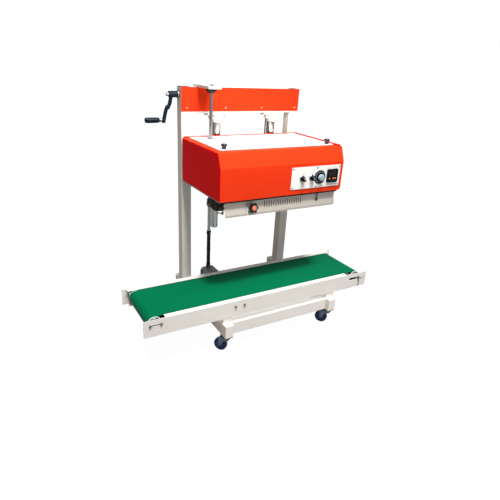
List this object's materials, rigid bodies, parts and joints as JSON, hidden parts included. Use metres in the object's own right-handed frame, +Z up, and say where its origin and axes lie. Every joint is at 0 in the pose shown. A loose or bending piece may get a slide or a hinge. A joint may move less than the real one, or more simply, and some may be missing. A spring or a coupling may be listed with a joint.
{
  "type": "continuous band sealer",
  "caption": "Vertical continuous band sealer: castored stand, crank-lifted red sealing head on guide columns and a green belt conveyor driven by a vertical spindle.",
  "frame": {"origin": "on the floor, under the middle of the conveyor's length and of the base's depth", "axes": "+X along the conveyor towards its outfeed end, +Z up, -Y is the operator's side with the control panel"},
  "size_m": [1.45, 0.716, 1.3478],
  "materials": {
    "cream": "satin powder coat",
    "red": "gloss paint",
    "lid": "satin powder coat",
    "panel": "satin printed plate",
    "chrome": "polished hard chrome",
    "steel": "zinc plated",
    "aluminium": "brushed",
    "cast": "painted casting",
    "crank": "satin black",
    "black": "satin moulded",
    "bearing": "black oxide",
    "belt": "smooth belt surface",
    "blue": "moulded",
    "rubber": "moulded rubber tread",
    "band": "fluoropolymer coated glass cloth",
    "brass": "machined",
    "knob": "moulded"
  },
  "bodies": {
    "stand": {"base_frame": "cream", "mast_frame": "cream", "beam_cover": "red", "guide_column_left": "chrome", "guide_column_right": "chrome", "spindle_bracket": "cream", "spindle_bearing": "bearing", "conveyor_gearbox": "cast", "conveyor_rail_front": "cream", "conveyor_rail_rear": "cream", "conveyor_bed": "steel", "conveyor_belt": "belt"},
    "crank": {"crank_arm": "crank", "cross_shaft": "steel"},
    "grip": {"crank_grip": "crank"},
    "screw_left": {"lead_screw_left": "steel"},
    "screw_right": {"lead_screw_right": "steel"},
    "spindle": {"spindle": "chrome", "drive_sleeve": "black"},
    "drive_roller": {"drive_roller": "aluminium"},
    "roller_infeed": {"end_roller_infeed": "aluminium"},
    "roller_outfeed": {"end_roller_outfeed": "aluminium"},
    "head": {"head_casing": "red", "head_chassis": "steel", "control_panel": "panel", "temperature_controller": "black", "drive_motor": "cast", "guard_left": "aluminium", "guard_right": "aluminium", "infeed_guide": "steel", "sealing_band_front": "band", "sealing_band_rear": "band", "heating_block_front": "brass", "heating_block_rear": "brass", "cooling_block_front": "aluminium", "cooling_block_rear": "aluminium"},
    "lid": {"head_lid": "lid"},
    "lid_knob_left": {"lid_knob_left": "black"},
    "lid_knob_right": {"lid_knob_right": "black"},
    "switch_left": {"rotary_switch_left": "black"},
    "switch_right": {"rotary_switch_right": "black"},
    "speed_knob": {"speed_knob": "knob"},
    "pressure_knob": {"pressure_knob": "black"},
    "release_lever": {"release_lever": "steel"},
    "spindle_gear": {"spindle_gear": "steel"},
    "motor_pinion": {"motor_pinion": "steel"},
    "band_wheel_infeed_front": {"band_wheel_infeed_front": "rubber"},
    "band_wheel_outfeed_front": {"band_wheel_outfeed_front": "rubber"},
    "press_wheel_front": {"press_wheel_front": "rubber"},
    "band_wheel_infeed_rear": {"band_wheel_infeed_rear": "rubber"},
    "band_wheel_outfeed_rear": {"band_wheel_outfeed_rear": "rubber"},
    "press_wheel_rear": {"press_wheel_rear": "rubber"},
    "castor_fork_front_left": {"castor_fork_front_left": "steel"},
    "castor_wheel_front_left": {"castor_wheel_front_left": "blue"},
    "castor_fork_front_right": {"castor_fork_front_right": "steel"},
    "castor_wheel_front_right": {"castor_wheel_front_right": "blue"},
    "castor_fork_rear_left": {"castor_fork_rear_left": "steel"},
    "castor_wheel_rear_left": {"castor_wheel_rear_left": "blue"},
    "castor_fork_rear_right": {"castor_fork_rear_right": "steel"},
    "castor_wheel_rear_right": {"castor_wheel_rear_right": "blue"}
  },
  "joints": [
    {"name": "crank_turn", "type": "hinge", "parent": "stand", "child": "crank", "pos_m": [-0.33, 0.258, 1.287], "axis": [-1, 0, 0], "range_deg": [-14860, 6310]},
    {"name": "crank_grip_spin", "type": "hinge", "parent": "crank", "child": "grip", "pos_m": [-0.44, 0.258, 1.156], "axis": [1, 0, 0], "continuous": true},
    {"name": "head_lift", "type": "slide", "parent": "stand", "child": "head", "axis": [0, 0, 1], "range_m": [-0.165, 0.07]},
    {"name": "lead_screw_left_turn", "type": "hinge", "parent": "stand", "child": "screw_left", "pos_m": [-0.1015, 0.258, 1], "axis": [0, 0, 1], "range_deg": [-6310, 14860]},
    {"name": "lead_screw_right_turn", "type": "hinge", "parent": "stand", "child": "screw_right", "pos_m": [0.268, 0.258, 1], "axis": [0, 0, 1], "range_deg": [-6310, 14860]},
    {"name": "spindle_turn", "type": "hinge", "parent": "stand", "child": "spindle", "pos_m": [-0.165, 0.129, 0.9], "axis": [0, 0, 1], "continuous": true},
    {"name": "spindle_gear_turn", "type": "hinge", "parent": "head", "child": "spindle_gear", "pos_m": [-0.165, 0.129, 0.855], "axis": [0, 0, 1], "continuous": true},
    {"name": "motor_pinion_turn", "type": "hinge", "parent": "head", "child": "motor_pinion", "pos_m": [-0.105, 0.129, 0.855], "axis": [0, 0, 1], "continuous": true},
    {"name": "drive_roller_turn", "type": "hinge", "parent": "stand", "child": "drive_roller", "pos_m": [-0.187, -0.137, 0.2585], "axis": [0, 1, 0], "continuous": true},
    {"name": "end_roller_infeed_turn", "type": "hinge", "parent": "stand", "child": "roller_infeed", "pos_m": [-0.657, -0.137, 0.2585], "axis": [0, 1, 0], "continuous": true},
    {"name": "end_roller_outfeed_turn", "type": "hinge", "parent": "stand", "child": "roller_outfeed", "pos_m": [0.657, -0.137, 0.2585], "axis": [0, 1, 0], "continuous": true},
    {"name": "band_wheel_infeed_front_turn", "type": "hinge", "parent": "head", "child": "band_wheel_infeed_front", "pos_m": [-0.2555, -0.1628, 0.787], "axis": [0, 0, 1], "continuous": true},
    {"name": "band_wheel_outfeed_front_turn", "type": "hinge", "parent": "head", "child": "band_wheel_outfeed_front", "pos_m": [0.428, -0.1628, 0.787], "axis": [0, 0, 1], "continuous": true},
    {"name": "press_wheel_front_turn", "type": "hinge", "parent": "head", "child": "press_wheel_front", "pos_m": [0.3, -0.1628, 0.787], "axis": [0, 0, 1], "continuous": true},
    {"name": "band_wheel_infeed_rear_turn", "type": "hinge", "parent": "head", "child": "band_wheel_infeed_rear", "pos_m": [-0.2555, -0.0972, 0.787], "axis": [0, 0, 1], "continuous": true},
    {"name": "band_wheel_outfeed_rear_turn", "type": "hinge", "parent": "head", "child": "band_wheel_outfeed_rear", "pos_m": [0.428, -0.0972, 0.787], "axis": [0, 0, 1], "continuous": true},
    {"name": "press_wheel_rear_turn", "type": "hinge", "parent": "head", "child": "press_wheel_rear", "pos_m": [0.3, -0.0972, 0.787], "axis": [0, 0, 1], "continuous": true},
    {"name": "lid_lift", "type": "slide", "parent": "head", "child": "lid", "axis": [0, 0, 1], "range_m": [0, 0.12]},
    {"name": "lid_knob_left_turn", "type": "hinge", "parent": "lid", "child": "lid_knob_left", "pos_m": [-0.226, -0.15, 1.0711], "axis": [0, 0, 1], "range_deg": [0, 1440]},
    {"name": "lid_knob_right_turn", "type": "hinge", "parent": "lid", "child": "lid_knob_right", "pos_m": [0.416, -0.15, 1.0711], "axis": [0, 0, 1], "range_deg": [0, 1440]},
    {"name": "rotary_switch_left_turn", "type": "hinge", "parent": "head", "child": "switch_left", "pos_m": [0.193, -0.2551, 0.917], "axis": [0, 1, 0], "range_deg": [0, 90]},
    {"name": "rotary_switch_right_turn", "type": "hinge", "parent": "head", "child": "switch_right", "pos_m": [0.255, -0.2551, 0.917], "axis": [0, 1, 0], "range_deg": [0, 90]},
    {"name": "speed_knob_turn", "type": "hinge", "parent": "head", "child": "speed_knob", "pos_m": [0.31, -0.2551, 0.917], "axis": [0, 1, 0], "range_deg": [-135, 135]},
    {"name": "pressure_knob_turn", "type": "hinge", "parent": "head", "child": "pressure_knob", "pos_m": [-0.101, -0.234, 0.788], "axis": [0, 1, 0], "range_deg": [-720, 720]},
    {"name": "release_lever_swing", "type": "hinge", "parent": "head", "child": "release_lever", "pos_m": [0.319, -0.24, 0.8205], "axis": [0, 1, 0], "range_deg": [-35, 35]},
    {"name": "castor_swivel_front_left", "type": "hinge", "parent": "stand", "child": "castor_fork_front_left", "pos_m": [-0.265, -0.325, 0.09], "axis": [0, 0, 1], "continuous": true},
    {"name": "castor_spin_front_left", "type": "hinge", "parent": "castor_fork_front_left", "child": "castor_wheel_front_left", "pos_m": [-0.28508, -0.29633, 0.0375], "axis": [-0.8192, -0.5736, 0], "continuous": true},
    {"name": "castor_swivel_front_right", "type": "hinge", "parent": "stand", "child": "castor_fork_front_right", "pos_m": [0.441, -0.325, 0.09], "axis": [0, 0, 1], "continuous": true},
    {"name": "castor_spin_front_right", "type": "hinge", "parent": "castor_fork_front_right", "child": "castor_wheel_front_right", "pos_m": [0.42092, -0.29633, 0.0375], "axis": [-0.8192, -0.5736, 0], "continuous": true},
    {"name": "castor_swivel_rear_left", "type": "hinge", "parent": "stand", "child": "castor_fork_rear_left", "pos_m": [-0.265, 0.325, 0.09], "axis": [0, 0, 1], "continuous": true},
    {"name": "castor_spin_rear_left", "type": "hinge", "parent": "castor_fork_rear_left", "child": "castor_wheel_rear_left", "pos_m": [-0.28508, 0.29633, 0.0375], "axis": [0.8192, -0.5736, 0], "continuous": true},
    {"name": "castor_swivel_rear_right", "type": "hinge", "parent": "stand", "child": "castor_fork_rear_right", "pos_m": [0.441, 0.325, 0.09], "axis": [0, 0, 1], "continuous": true},
    {"name": "castor_spin_rear_right", "type": "hinge", "parent": "castor_fork_rear_right", "child": "castor_wheel_rear_right", "pos_m": [0.42092, 0.29633, 0.0375], "axis": [0.8192, -0.5736, 0], "continuous": true}
  ],
  "couplings": [
    {"joint": "crank_turn", "follows": "head_lift", "rad_per_m": 1570.8},
    {"joint": "lead_screw_left_turn", "follows": "head_lift", "rad_per_m": -1570.8},
    {"joint": "lead_screw_right_turn", "follows": "head_lift", "rad_per_m": -1570.8},
    {"joint": "spindle_gear_turn", "follows": "spindle_turn", "ratio": 1},
    {"joint": "motor_pinion_turn", "follows": "spindle_turn", "ratio": -2},
    {"joint": "drive_roller_turn", "follows": "spindle_turn", "ratio": 0.1},
    {"joint": "end_roller_infeed_turn", "follows": "spindle_turn", "ratio": 0.1},
    {"joint": "end_roller_outfeed_turn", "follows": "spindle_turn", "ratio": 0.1},
    {"joint": "band_wheel_infeed_front_turn", "follows": "spindle_turn", "ratio": -0.125},
    {"joint": "band_wheel_outfeed_front_turn", "follows": "spindle_turn", "ratio": -0.125},
    {"joint": "press_wheel_front_turn", "follows": "spindle_turn", "ratio": -0.125},
    {"joint": "band_wheel_infeed_rear_turn", "follows": "spindle_turn", "ratio": 0.125},
    {"joint": "band_wheel_outfeed_rear_turn", "follows": "spindle_turn", "ratio": 0.125},
    {"joint": "press_wheel_rear_turn", "follows": "spindle_turn", "ratio": 0.125}
  ]
}
